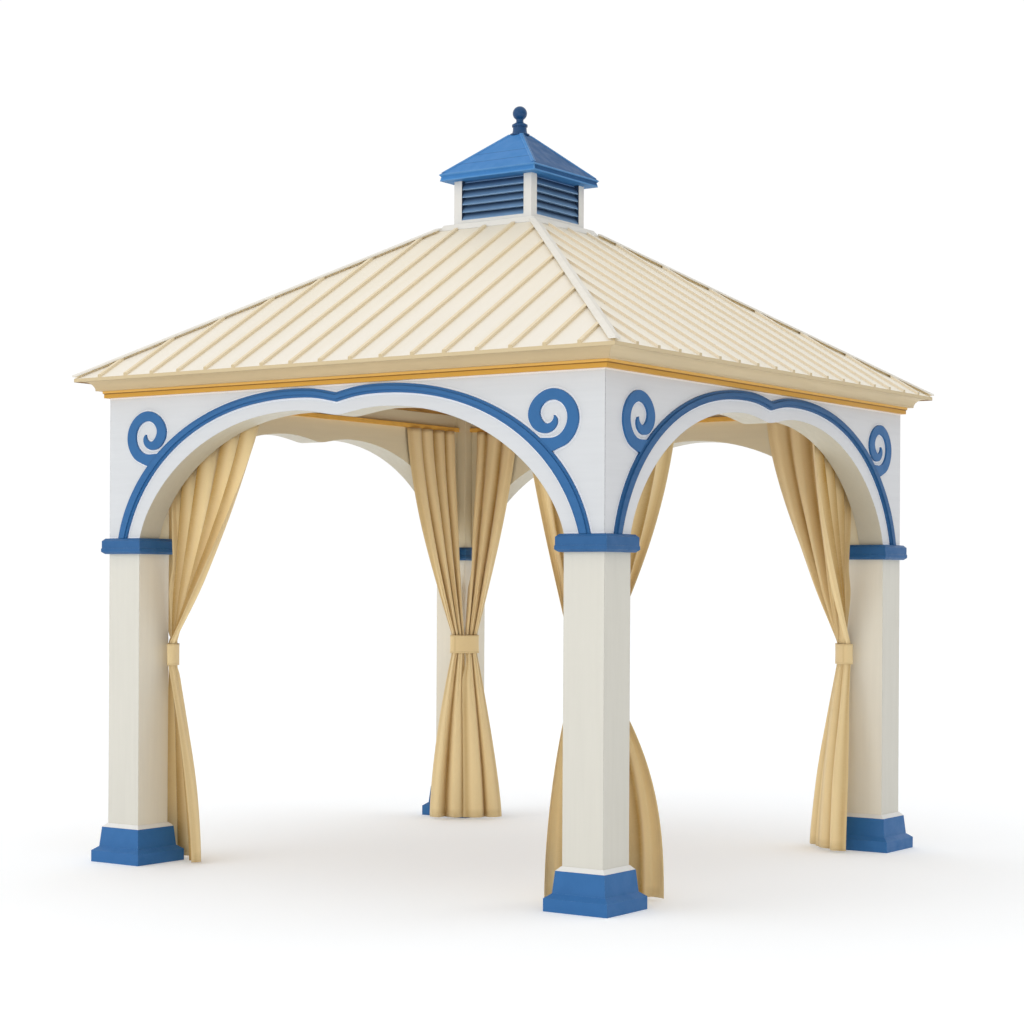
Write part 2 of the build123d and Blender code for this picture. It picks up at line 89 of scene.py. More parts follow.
# Powers: how late the cloth draws in above the tie, how early it spreads below, and how much later its edge by the
# post draws in
FALLS = {
    "front_left": (1.34, 1.30),
    "front_right": (1.25, 1.60),
    "back_right": (1.45, 1.50),
    "back_left": (1.32, 1.45),
}
FLARES = {
    "front_left": (1.45, 1.60),
    "front_right": (1.90, 2.50),
    "back_right": (1.35, 1.35),
    "back_left": (1.30, 1.60),
}
LAGS = {"front_left": (0.0, 3.5), "front_right": (0.0, 0.0), "back_right": (0.0, 0.0), "back_left": (0.0, 0.0)}
# How far the ends of the bunch bend back round the post, and the corners where the side wall's panel laps over
HUG = 0.026
SIDE_OVER = {"back_right"}

# Where a panel starts along its rail, and how far it hangs from the wall
RAIL_START, RAIL_STAND_OFF = 1.412, 0.030
# Half of the gap between the two panels, and what the gap and the outer end take off the width
BUNCH_SPLIT, BUNCH_MARGIN = 0.003, 0.010
HEM_SPLIT, HEM_MARGIN = 0.004, 0.008
# Limit that keeps the cloth off the capital, and how much further out it may hang by the post below
CAPITAL_LIMIT, POST_GAIN, POST_GAIN_TOP, POST_GAIN_RUN = 1.402, 0.05, 1.77, 0.35
# Shift of a panel's inner edge towards the post, below the capital
EDGE_SHIFT, EDGE_SHIFT_TOP, EDGE_SHIFT_RUN = 0.014, 1.75, 0.25
# How far the folds stand out: at the rail, more on the way down, less at the tie, and from the tie to the hem
RAIL_REACH, SWELL_REACH, SQUEEZE_REACH = 0.017, 0.013, 0.015
TIE_REACH, HEM_REACH = 0.015, 0.024
# Largest fold inside the tie, and how much more it may be away from it
TIE_ROOM, FREE_ROOM, ROOM_START, ROOM_RUN = 1.15, 0.6, 0.008, 0.08
# Lap of one panel over the other below the tie, and how far the folds flatten there
LAP_LIFT, LAP_WIDTH, LAP_CALM = 0.026, 0.030, 0.75
# Cloth: thickness, thread pitch, width of one fold above and below the tie, stitched strips and painted light along
# the edge
CLOTH_THICKNESS, BAND_THICKNESS, BAND_GAP = 0.0016, 0.003, 0.003
THREAD = 0.0035
FOLD_WIDTH, HEM_FOLD_WIDTH = 0.145, 0.105
FOLD_CREST, HEM_FOLD_CREST = 0.42, 0.34
HEM_STRIP, EDGE_STRIP = 0.06, 0.02
EDGE_LIGHT, EDGE_LIGHT_WIDTH = 1.2, 0.03


def srgb(red, green, blue):
    """Linear colour of a picture colour given from 0 to 255."""
    parts = [c / 255 for c in (red, green, blue)]
    return tuple(c / 12.92 if c <= 0.04045 else ((c + 0.055) / 1.055) ** 2.4 for c in parts) + (1.0,)


def shaded(colour, factor):
    """The same colour, lighter or darker."""
    return tuple(min(1.0, c * factor) for c in colour[:3]) + (1.0,)


class Finish:
    """A material being built: adds nodes, feeds their inputs and hands back output sockets."""

    def __init__(self, name, **settings):
        self.material = bpy.data.materials.new(name)
        self.material.use_nodes = True
        self.tree = self.material.node_tree
        self.shader = self.tree.nodes["Principled BSDF"]
        for socket, value in settings.items():
            self.shader.inputs[socket.replace("_", " ")].default_value = value
        self.place = self.add("ShaderNodeTexCoord").outputs["Object"]

    def add(self, kind, inputs=None, **settings):
        node = self.tree.nodes.new(kind)
        for key, value in settings.items():
            setattr(node, key, value)
        for key, value in (inputs or {}).items():
            self.feed(node.inputs[key], value)
        return node

    def feed(self, socket, value):
        if isinstance(value, bpy.types.NodeSocket):
            self.tree.links.new(value, socket)
        else:
            socket.default_value = value

    def out(self, socket, value):
        self.feed(self.shader.inputs[socket], value)

    def noise(self, scale, detail=4.0, stretch=(1, 1, 1), roughness=0.55, distortion=0.0):
        where = self.add("ShaderNodeMapping", {"Vector": self.place, "Scale": stretch}).outputs[0]
        settings = {
            "Vector": where, "Scale": scale, "Detail": detail, "Roughness": roughness, "Distortion": distortion,
        }
        return self.add("ShaderNodeTexNoise", settings).outputs["Fac"]

    def maths(self, operation, first, second=0.0, third=0.0):
        return self.add("ShaderNodeMath", {0: first, 1: second, 2: third}, operation=operation).outputs[0]

    def ranged(self, value, low, high, to_low=0.0, to_high=1.0, smooth=False):
        settings = {"Value": value, "From Min": low, "From Max": high, "To Min": to_low, "To Max": to_high}
        kind = "SMOOTHSTEP" if smooth else "LINEAR"
        return self.add("ShaderNodeMapRange", settings, interpolation_type=kind).outputs[0]

    def mix(self, factor, first, second, blend="MIX"):
        node = self.add("ShaderNodeMix", data_type="RGBA", blend_type=blend)
        self.feed(node.inputs[0], factor)
        self.feed(node.inputs[6], first)
        self.feed(node.inputs[7], second)
        return node.outputs[2]

    def axis(self, letter, source=None):
        parts = self.add("ShaderNodeSeparateXYZ", {"Vector": source or self.place})
        return parts.outputs[letter]

    def soft_edges(self, radius):
        """Normal rounded over sharp edges, and a mask of those edges."""
        rounded = self.add("ShaderNodeBevel", {"Radius": radius}, samples=4).outputs[0]
        flat = self.add("ShaderNodeNewGeometry").outputs["True Normal"]
        match = self.add("ShaderNodeVectorMath", {0: rounded, 1: flat}, operation="DOT_PRODUCT").outputs["Value"]
        return rounded, self.ranged(match, 0.995, 0.80)

    def bump(self, height, distance, normal=None, strength=1.0):
        settings = {"Height": height, "Distance": distance, "Strength": strength}
        if normal is not None:
            settings["Normal"] = normal
        return self.add("ShaderNodeBump", settings).outputs[0]


def inner_faces(letter, reach):
    """Mask of a wall's faces that look less outwards than the reach; the letter is the axis through the wall."""
    def mask(finish):
        facing = finish.axis(letter, finish.add("ShaderNodeNewGeometry").outputs["True Normal"])
        return finish.ranged(finish.maths("MULTIPLY", finish.axis(letter), facing), reach, reach - 0.1)
    return mask


def inward_faces(finish):
    """Mask of the upright faces that look towards the middle of the plan."""
    normal = finish.add("ShaderNodeNewGeometry").outputs["True Normal"]
    products = [finish.maths("MULTIPLY", finish.axis(letter), finish.axis(letter, normal)) for letter in "XY"]
    return finish.ranged(finish.maths("ADD", *products), -0.02, -0.03)


def side_slopes(finish):
    """Mask of the faces that look to the left or right."""
    normal = finish.add("ShaderNodeNewGeometry").outputs["True Normal"]
    across, along = [finish.maths("ABSOLUTE", finish.axis(letter, normal)) for letter in "XY"]
    return finish.ranged(finish.maths("SUBTRACT", across, along), 0.0, 0.1)


def downward_faces(finish):
    """Mask of the faces that look down."""
    return finish.ranged(finish.axis("Z", finish.add("ShaderNodeNewGeometry").outputs["True Normal"]), -0.2, -0.4)


def between(low, high):
    """Mask of what lies between two heights."""
    def mask(finish):
        height = finish.axis("Z")
        edge = 0.0006
        lower = finish.ranged(height, low - edge, low + edge)
        return finish.maths("MULTIPLY", lower, finish.ranged(height, high + edge, high - edge))
    return mask


def rim(width):
    """Mask of the strips along the outer edges, to about a width, where there is little body behind the face."""
    def mask(finish):
        settings = dict(samples=16, inside=True, only_local=True)
        body = finish.add("ShaderNodeAmbientOcclusion", {"Distance": width}, **settings).outputs["AO"]
        return finish.ranged(body, 0.97, 0.86)
    return mask


def beside_parts(width):
    """Mask of the line along the foot of whatever stands on the face, to about a width: where its contact shade
    falls.
    """
    def mask(finish):
        free = finish.add("ShaderNodeAmbientOcclusion", {"Distance": width}, samples=8).outputs["AO"]
        return finish.ranged(free, 0.96, 0.84)
    return mask


def painted(name, colour, grain, roughness=0.45, mottle=0.05, wear_and_highlight=None, edge=0.004, zones=(), gloss=0.3):
    """Brushed paint: faint brush marks along the grain, soft mottling, and flecks along the edges in an edge colour
    that is wear where it is deeper and a painted edge highlight where it is lighter.

    Zones are pairs of another colour and the mask of where it is.
    """
    finish = Finish(name, Specular_IOR_Level=gloss)
    brush = finish.noise(1.0, detail=6, stretch=grain)
    cloud = finish.ranged(finish.noise(1.7, detail=5), 0.3, 0.7)
    speck = finish.noise(90.0, detail=2)
    tone = finish.mix(cloud, shaded(colour, 1 - mottle), shaded(colour, 1 + mottle))
    for other, mask in zones:
        tone = finish.mix(mask(finish), tone, finish.mix(cloud, shaded(other, 1 - mottle), shaded(other, 1 + mottle)))
    strokes = finish.ranged(brush, 0.35, 0.7, 0.0, 2.2 * mottle)
    tone = finish.mix(strokes, tone, (0.0, 0.0, 0.0, 1.0))
    rounded, edges = finish.soft_edges(edge)
    # Flecks along the edges: wear where the edge colour is deeper, a painted edge highlight where it is lighter
    chips_and_highlight = finish.maths("MULTIPLY", edges, finish.ranged(speck, 0.42, 0.62, 0.0, 0.55))
    tone = finish.mix(chips_and_highlight, tone, wear_and_highlight or shaded(colour, 1.3))
    finish.out("Base Color", tone)
    finish.out("Roughness", finish.ranged(brush, 0.3, 0.7, roughness - 0.08, roughness + 0.12))
    fine = finish.bump(speck, 0.00025, rounded, 0.5)
    finish.out("Normal", finish.bump(brush, 0.0009, fine, 0.55))
    return finish.material


def roof_sheet(name, letter, cream, rib_top, rib_side):
    """Cream enamelled sheet with tan ribs on top, painted shade fading out beside each rib, a tan eave, and stained
    boards on the underside.
    """
    finish = Finish(name)
    eave, boards = srgb(206, 186, 146), srgb(150, 108, 52)
    plank_rise, rib_shade_width = 0.062, 0.030
    along = finish.axis(letter)
    phase = finish.maths("FRACT", finish.maths("ADD", finish.maths("DIVIDE", along, RIB_PITCH), 0.5))
    offset = finish.maths("MULTIPLY", finish.maths("ABSOLUTE", finish.maths("SUBTRACT", phase, 0.5)), RIB_PITCH)
    rib = finish.ranged(offset, RIB_HALF, RIB_HALF + 0.001, 1.0, 0.0)
    # Painted shade that fades out over a strip beside each rib
    rib_shade = finish.ranged(offset, RIB_HALF, RIB_HALF + rib_shade_width, 0.30, 0.0, smooth=True)
    stretch = (14, 1.2, 1.2) if letter == "X" else (1.2, 14, 1.2)
    streak = finish.noise(1.0, detail=6, stretch=stretch)
    cloud = finish.noise(1.1, detail=4)
    speck = finish.noise(140.0, detail=2)
    height = finish.ranged(finish.axis("Z"), ROOF_FOOT, ROOF_TOP, 0.0, 0.45)
    tone = finish.mix(finish.ranged(cloud, 0.3, 0.7), shaded(cream, 0.96), cream)
    tone = finish.mix(height, tone, srgb(236, 222, 190))
    tone = finish.mix(finish.ranged(streak, 0.45, 0.75, 0.0, 0.25), tone, srgb(230, 219, 192))
    tone = finish.mix(rib_shade, tone, srgb(228, 214, 182))
    tone = finish.mix(rib, tone, rib_top)
    normal = finish.add("ShaderNodeNewGeometry").outputs["True Normal"]
    up = finish.axis("Z", normal)
    steep = finish.ranged(up, 0.55, 0.45)
    beside = finish.ranged(finish.maths("ABSOLUTE", finish.axis(letter, normal)), 0.5, 0.6)
    tone = finish.mix(steep, tone, finish.mix(beside, eave, rib_side))
    under = finish.ranged(up, -0.15, -0.25)
    grain = finish.noise(1.0, detail=7, stretch=(5, 60, 60) if letter == "X" else (60, 5, 60), distortion=0.6)
    plank = finish.maths("FRACT", finish.maths("DIVIDE", finish.axis("Z"), plank_rise))
    seam = finish.ranged(finish.maths("ABSOLUTE", finish.maths("SUBTRACT", plank, 0.5)), 0.46, 0.49)
    timber = finish.mix(finish.ranged(grain, 0.35, 0.7), boards, shaded(boards, 0.6))
    timber = finish.mix(finish.maths("MULTIPLY", seam, 0.8), timber, shaded(boards, 0.25))
    finish.out("Base Color", finish.mix(under, tone, timber))
    finish.out("Roughness", finish.ranged(streak, 0.3, 0.7, 0.42, 0.58))
    rounded, _ = finish.soft_edges(0.003)
    dents = finish.noise(3.0, detail=2)
    finish.out("Normal", finish.bump(dents, 0.004, finish.bump(speck, 0.0002, rounded, 0.4), 0.35))
    return finish.material


def louvre(name, painted_shade_tone, light, lip_highlight, low, pitch):
    """Painted slats: painted shade up under the next slat, painted light towards the lower edge, and a pale painted
    highlight along the lower edge of each slat.
    """
    finish = Finish(name, Specular_IOR_Level=0.3, Roughness=0.5)
    phase = finish.maths("FRACT", finish.maths("DIVIDE", finish.maths("SUBTRACT", finish.axis("Z"), low), pitch))
    cloud = finish.noise(9.0, detail=5)
    brush = finish.noise(1.0, detail=6, stretch=(6, 6, 80))
    # Painted shade under the slat above, fading to painted light towards the lower edge
    tone = finish.mix(finish.ranged(phase, 0.05, 0.85, smooth=True), light, painted_shade_tone)
    tone = finish.mix(finish.ranged(cloud, 0.3, 0.7, 0.0, 0.2), tone, shaded(painted_shade_tone, 1.2))
    # Painted highlight on the down-facing lower edge and a narrow strip above it
    edge = finish.ranged(finish.axis("Z", finish.add("ShaderNodeNewGeometry").outputs["True Normal"]), -0.6, -0.75)
    near = finish.ranged(phase, 0.10, 0.04)
    tone = finish.mix(finish.maths("MAXIMUM", edge, near), tone, lip_highlight)
    finish.out("Base Color", tone)
    rounded, _ = finish.soft_edges(0.002)
    finish.out("Normal", finish.bump(brush, 0.0006, rounded, 0.5))
    return finish.material


def stained(name, colour, grain):
    """Stained timber with grain along its length."""
    finish = Finish(name, Specular_IOR_Level=0.3)
    figure = finish.noise(1.0, detail=8, stretch=grain, distortion=0.8)
    knots = finish.noise(2.0, detail=3)
    tone = finish.mix(finish.ranged(figure, 0.35, 0.68), shaded(colour, 1.15), shaded(colour, 0.55))
    tone = finish.mix(finish.ranged(knots, 0.58, 0.75, 0.0, 0.4), tone, shaded(colour, 0.5))
    finish.out("Base Color", tone)
    finish.out("Roughness", finish.ranged(figure, 0.3, 0.7, 0.5, 0.7))
    rounded, _ = finish.soft_edges(0.003)
    finish.out("Normal", finish.bump(figure, 0.0012, rounded, 0.5))
    return finish.material


def cloth(name, colour, shadow):
    """Plain woven cloth: threads both ways, a soft sheen, and painted shade down in the folds."""
    finish = Finish(name, Roughness=0.85, Sheen_Weight=0.25, Sheen_Roughness=0.5, Specular_IOR_Level=0.2)
    across = finish.add("ShaderNodeAttribute", attribute_name="across").outputs["Fac"]
    down = finish.add("ShaderNodeAttribute", attribute_name="down").outputs["Fac"]
    fold_shade = finish.add("ShaderNodeAttribute", attribute_name="fold").outputs["Fac"]
    hem = finish.add("ShaderNodeAttribute", attribute_name="hem").outputs["Fac"]
    warp = finish.maths("SINE", finish.maths("MULTIPLY", across, 2 * math.pi / THREAD))
    weft = finish.maths("SINE", finish.maths("MULTIPLY", down, 2 * math.pi / THREAD))
    weave = finish.maths("MULTIPLY", warp, weft)
    cloud = finish.noise(3.0, detail=5)
    slub = finish.noise(1.0, detail=4, stretch=(60, 60, 400))
    # Painted shade in the fold valleys and the lit tone on the crests
    tone = finish.mix(finish.ranged(fold_shade, -0.9, 0.9, smooth=True), shadow, colour)
    tone = finish.mix(finish.ranged(cloud, 0.3, 0.7, 0.0, 0.3), tone, shaded(colour, 0.86))
    tone = finish.mix(finish.ranged(slub, 0.5, 0.8, 0.0, 0.25), tone, shaded(colour, 1.1))
    tone = finish.mix(finish.maths("MULTIPLY", hem, 0.16), tone, shaded(shadow, 0.8))
    tone = finish.mix(finish.ranged(weave, -1.0, 1.0, 0.0, 0.14), tone, shaded(shadow, 0.9))
    finish.out("Base Color", tone)
    creases = finish.noise(14.0, detail=5, stretch=(1, 1, 0.25), distortion=0.5)
    stitch = finish.bump(hem, 0.0012, None, 0.8)
    finish.out("Normal", finish.bump(weave, 0.0004, finish.bump(creases, 0.0035, stitch, 0.5), 0.5))
    return finish.material


# Camera solved from the photo: level, shifted up, turned to show the front and right sides
camera_data = bpy.data.cameras.new("camera")
camera_data.sensor_width = 36.0
camera_data.lens = 75.49
camera_data.shift_y = 0.0694
camera = bpy.data.objects.new("camera", camera_data)
camera.location = (7.346, -10.576, 1.6245)
turn = Matrix.Rotation(math.radians(34.9268), 4, "Z")
tilt = Matrix.Rotation(math.radians(90), 4, "X")
roll = Matrix.Rotation(math.radians(0.3076), 4, "Z")
camera.rotation_euler = (turn @ tilt @ roll).to_euler()
scene.collection.objects.link(camera)
scene.camera = camera
scene.view_settings.view_transform = "Standard"

# Pale floor and soft light
floor_mesh = bpy.data.meshes.new("floor")
floor_form = bmesh.new()
bmesh.ops.create_circle(floor_form, cap_ends=True, radius=90, segments=96)
floor_form.to_mesh(floor_mesh)
floor_form.free()
floor = bpy.data.objects.new("floor", floor_mesh)
scene.collection.objects.link(floor)
floor_finish = Finish("floor", Roughness=0.9, Specular_IOR_Level=0.1, Emission_Strength=0.10)
floor_finish.out("Base Color", floor_finish.mix(floor_finish.noise(0.6), srgb(251, 253, 255), srgb(249, 251, 253)))
floor_mesh.materials.append(floor_finish.material)

# White sky that lights the object less from low down on the right, with an even white behind the object
world = bpy.data.worlds.new("studio")
world.use_nodes = True
sky_tree = world.node_tree
sky = sky_tree.nodes["Background"]
sky.inputs["Color"].default_value = (1.0, 1.0, 1.0, 1.0)
direction = sky_tree.nodes.new("ShaderNodeTexCoord")
parts = sky_tree.nodes.new("ShaderNodeSeparateXYZ")
lowness = sky_tree.nodes.new("ShaderNodeMath")
lowness.operation = "MULTIPLY_ADD"
lowness.inputs[1].default_value = -0.7
side = sky_tree.nodes.new("ShaderNodeMapRange")
side.interpolation_type = "SMOOTHSTEP"
for socket, value in (("From Min", 0.0), ("From Max", 0.9), ("To Min", 1.02), ("To Max", 0.40)):
    side.inputs[socket].default_value = value
sky_tree.links.new(direction.outputs["Generated"], parts.inputs[0])
sky_tree.links.new(parts.outputs["Z"], lowness.inputs[0])
sky_tree.links.new(parts.outputs["X"], lowness.inputs[2])
sky_tree.links.new(lowness.outputs[0], side.inputs["Value"])
path = sky_tree.nodes.new("ShaderNodeLightPath")
backdrop = sky_tree.nodes.new("ShaderNodeMath")
backdrop.operation = "MAXIMUM"
sky_tree.links.new(side.outputs[0], backdrop.inputs[0])
sky_tree.links.new(path.outputs["Is Camera Ray"], backdrop.inputs[1])
sky_tree.links.new(backdrop.outputs[0], sky.inputs["Strength"])
scene.world = world


def lamp(name, place, target, size, power):
    """Square soft light aimed at a point."""
    data = bpy.data.lights.new(name, "AREA")
    data.size, data.energy = size, power
    light = bpy.data.objects.new(name, data)
    light.location = place
    light.rotation_euler = (Vector(target) - Vector(place)).to_track_quat("-Z", "Y").to_euler()
    light.visible_camera = False
    scene.collection.objects.link(light)


lamp("key", (-4.0, -11.0, 7.0), (0, 0, 1.8), 7.0, 105)
lamp("fill", (3.5, -13.0, 2.2), (0, 0, 1.4), 5.0, 60)
lamp("bounce", (0, 0, 0.03), (0, 0, 3.0), 2.2, 11)

# Finishes, in pairs where the grain differs between the front and back and the sides; where the colour differs too,
# the sides' copy is lighter as painted light or deeper as painted shade
WHITE, WARM, BRIGHT = srgb(214, 216, 218), srgb(218, 215, 204), srgb(246, 247, 250)
BEIGE, REVEAL_SHADE = srgb(226, 214, 182), srgb(198, 192, 174)
BLUE, NAVY, SKY = srgb(44, 103, 158), srgb(30, 72, 116), srgb(110, 160, 215)
GOLD, TAN, PALE = srgb(214, 160, 60), srgb(206, 184, 144), srgb(240, 238, 230)
upright, along_x, along_y, both = (45, 45, 2.5), (2.5, 45, 45), (45, 2.5, 45), (14, 14, 14)
walls = [
    painted(
        f"wall_paint_{letter}", white, grain, mottle=0.012, wear_and_highlight=BRIGHT, edge=0.006,
        zones=[
            # A near-white line where contact shade falls at the foot of the mouldings and scrolls: partly a white
            # painted outline, partly painted light that cancels that shade
            (srgb(252, 252, 254), beside_parts(0.012)),
            # Reveals and soffits in a greyer, deeper beige: painted shade, as they catch strong light from below
            (REVEAL_SHADE, inner_faces(through, 1.3)),
            (BEIGE, inner_faces(through, -1.2)),
        ],
    )
    # The side walls get a slightly lighter white than the front and back: painted light
    for letter, through, white, grain in (("x", "Y", WHITE, along_x), ("y", "X", srgb(220, 221, 223), along_y))
]
# The inward faces of the posts are a lighter warm white: painted light for the shaded inside of the pavilion. Above
# the capitals the posts are beige like the inner walls.
post_paint = painted(
    "post_paint", WARM, upright, mottle=0.012, wear_and_highlight=PALE, edge=0.006,
    zones=[(srgb(236, 230, 214), inward_faces), (BEIGE, between(*UPPER_POST))],
)
collar_paint = painted("collar_paint", srgb(232, 231, 228), both, mottle=0.02, wear_and_highlight=BRIGHT, edge=0.003)
# The inward faces of the cupola frame are a deep slate blue: painted shade for the inside of the cupola
cupola_paint = painted(
    "cupola_paint", srgb(228, 226, 221), upright, mottle=0.012, wear_and_highlight=PALE, zones=[(srgb(48, 70, 98), inward_faces)],
)
base_paint = painted("base_paint", srgb(230, 227, 219), both, mottle=0.015, wear_and_highlight=PALE)
# The side walls' mouldings get a deeper blue than the front and back: painted shade
bands = [
    painted(f"band_paint_{letter}", blue, grain, mottle=0.03, wear_and_highlight=NAVY, edge=0.0035)
    for letter, blue, grain in (("x", BLUE, along_x), ("y", srgb(38, 92, 142), along_y))
]
scroll_blue = painted("scroll_paint", BLUE, both, mottle=0.03, wear_and_highlight=NAVY, edge=0.002)
plinth_blue = painted("plinth_paint", srgb(46, 107, 166), both, mottle=0.03, wear_and_highlight=SKY)
capital_blue = painted("capital_paint", srgb(39, 95, 148), both, mottle=0.03, wear_and_highlight=SKY)
finial_blue = painted("finial_paint", srgb(28, 74, 120), both, mottle=0.03, wear_and_highlight=SKY, roughness=0.35)
cap_lines = [(srgb(48, 98, 152), between(height, height + 0.003)) for height in CAP_LINES]
# The left and right slopes are a deeper blue as painted shade, and a lighter strip along the outer edges is a painted
# highlight; the thin lines at two heights are the course joints
cap_blue = painted(
    "cap_paint", srgb(70, 132, 194), both, mottle=0.02, wear_and_highlight=srgb(120, 170, 220), gloss=0.08,
    zones=[(srgb(42, 90, 140), side_slopes), *cap_lines, (srgb(92, 148, 204), rim(0.010))],
)
low, high = [corner.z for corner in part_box("cupola_louvres")]
slat_blue = louvre(
    "slat_paint", srgb(44, 66, 94), srgb(108, 146, 186), srgb(158, 194, 230), low, (high - low - SLAT_DROP) / 4,
)
# A lighter strip on the nose of the frieze, and just under the nose a narrow deeper gold line that is painted shadow
gold_zones = [
    (srgb(236, 188, 98), between(FRIEZE_NOSE + 0.002, FRIEZE_TOP)),
    (srgb(156, 108, 34), between(FRIEZE_NOSE - 0.004, FRIEZE_NOSE + 0.002)),
]
golds = [
    painted(f"gold_paint_{letter}", GOLD, grain, mottle=0.02, wear_and_highlight=srgb(236, 190, 96), edge=0.003, zones=gold_zones)
    for letter, grain in (("x", along_x), ("y", along_y))
]
# The side cornices get a lighter tan than the front and back: painted light
tans = [
    painted(f"tan_paint_{letter}", tan, grain, roughness=0.55, mottle=0.02, wear_and_highlight=srgb(226, 208, 172), edge=0.003)
    for letter, tan, grain in (("x", TAN, along_x), ("y", srgb(216, 197, 160), along_y))
]
# The undersides of the hip caps are a warmer tan so that the shade under the caps reads brown: a painted tint of that
# shade
cap_sheet = painted(
    "ridge_sheet", srgb(234, 229, 218), both, roughness=0.5, mottle=0.02, edge=0.003,
    zones=[(srgb(240, 222, 180), downward_faces)],
)
rail_metal = painted("rail_metal", srgb(238, 184, 88), both, roughness=0.35, edge=0.003)
plates = [
    stained("plate_timber_x", srgb(186, 142, 76), (5, 60, 60)),
    stained("plate_timber_y", srgb(186, 142, 76), (60, 5, 60)),
]
rafter = stained("rafter_timber", srgb(150, 108, 52), (30, 30, 8))
# The side slopes get a lighter cream and cream rib tops, the front and back slopes tan rib tops: painted light on the
# side slopes
roofs = [
    roof_sheet("roof_sheet_x", "X", srgb(240, 233, 219), srgb(232, 215, 180), srgb(236, 220, 188)),
    roof_sheet("roof_sheet_y", "Y", srgb(247, 240, 224), srgb(245, 237, 219), srgb(238, 224, 198)),
]
curtain_cloth = cloth("curtain_cloth", srgb(247, 223, 172), srgb(168, 124, 42))

finishes = {
    "post": (post_paint, post_paint),
    "arch_panel": walls,
    "arch_moulding": bands,
    "frieze": golds,
    "cornice": tans,
    "wall_plate": plates,
    "roof_panel": roofs,
    "plinths": (plinth_blue, plinth_blue),
    "collars": (collar_paint, collar_paint),
    "capitals": (capital_blue, capital_blue),
    "scrolls": (scroll_blue, scroll_blue),
    "hip_caps": (cap_sheet, cap_sheet),
    "hip_rafters": (rafter, rafter),
    "cupola_base": (base_paint, base_paint),
    "cupola_frame": (cupola_paint, cupola_paint),
    "cupola_louvres": (slat_blue, slat_blue),
    "cupola_roof": (cap_blue, cap_blue),
    "finial": (finial_blue, finial_blue),
    "curtain_rails": (rail_metal, rail_metal),
}
for name, node in nodes.items():
    for stem, pair in finishes.items():
        if name.startswith(stem):
            node.data.materials.clear()
            node.data.materials.append(pair[name.endswith(("left", "right"))])
            break


def ease(t):
    """Smooth step from 0 to 1."""
    t = min(1.0, max(0.0, t))
    return t * t * (3 - 2 * t)


# Curtains: each panel is one sheet of cloth hung in folds, drawn into the tie and let out again to the hem
TIE_TOP, TIE_FOOT = TIE_CENTRE + TIE_HEIGHT / 2, TIE_CENTRE - TIE_HEIGHT / 2
CLOTH_TOP = RAIL_FOOT - 0.001
COLUMNS, ROWS = 112, 84


class Folds:
    """Unequal folds across a panel: broad at the crest, tight in the valley, each leaning to one side."""

    def __init__(self, count, crest, seed):
        source = random.Random(seed)
        widths = [source.uniform(0.7, 1.4) for _ in range(count)]
        self.stops = [sum(widths[:k]) / sum(widths) for k in range(count + 1)]
        self.size = [source.uniform(0.75, 1.05) for _ in range(count)]
        self.lean = [source.uniform(0.75, 1.35) for _ in range(count)]
        self.shift = [source.uniform(0, 1) for _ in range(3)]
        self.crest = crest

    def at(self, across, down, tight_share):
        """Wave from about -1 to 1, with gathers between the folds where the cloth is tight."""
        k = min(len(self.size) - 1, max(i for i, stop in enumerate(self.stops) if stop <= across + 1e-9))
        inside = min(1.0, (across - self.stops[k]) / (self.stops[k + 1] - self.stops[k])) ** self.lean[k]
        crest = 2 * (math.sin(math.pi * inside) ** 2 + 0.01) ** self.crest - 1
        sway = 0.16 * math.sin(2 * math.pi * (1.4 * across + 0.8 * down + self.shift[0]))
        gather = math.sin(2 * math.pi * (len(self.size) * 2.6 * across + self.shift[1] + 0.4 * down))
        return self.size[k] * crest + sway + (0.04 + 0.30 * tight_share) * gather


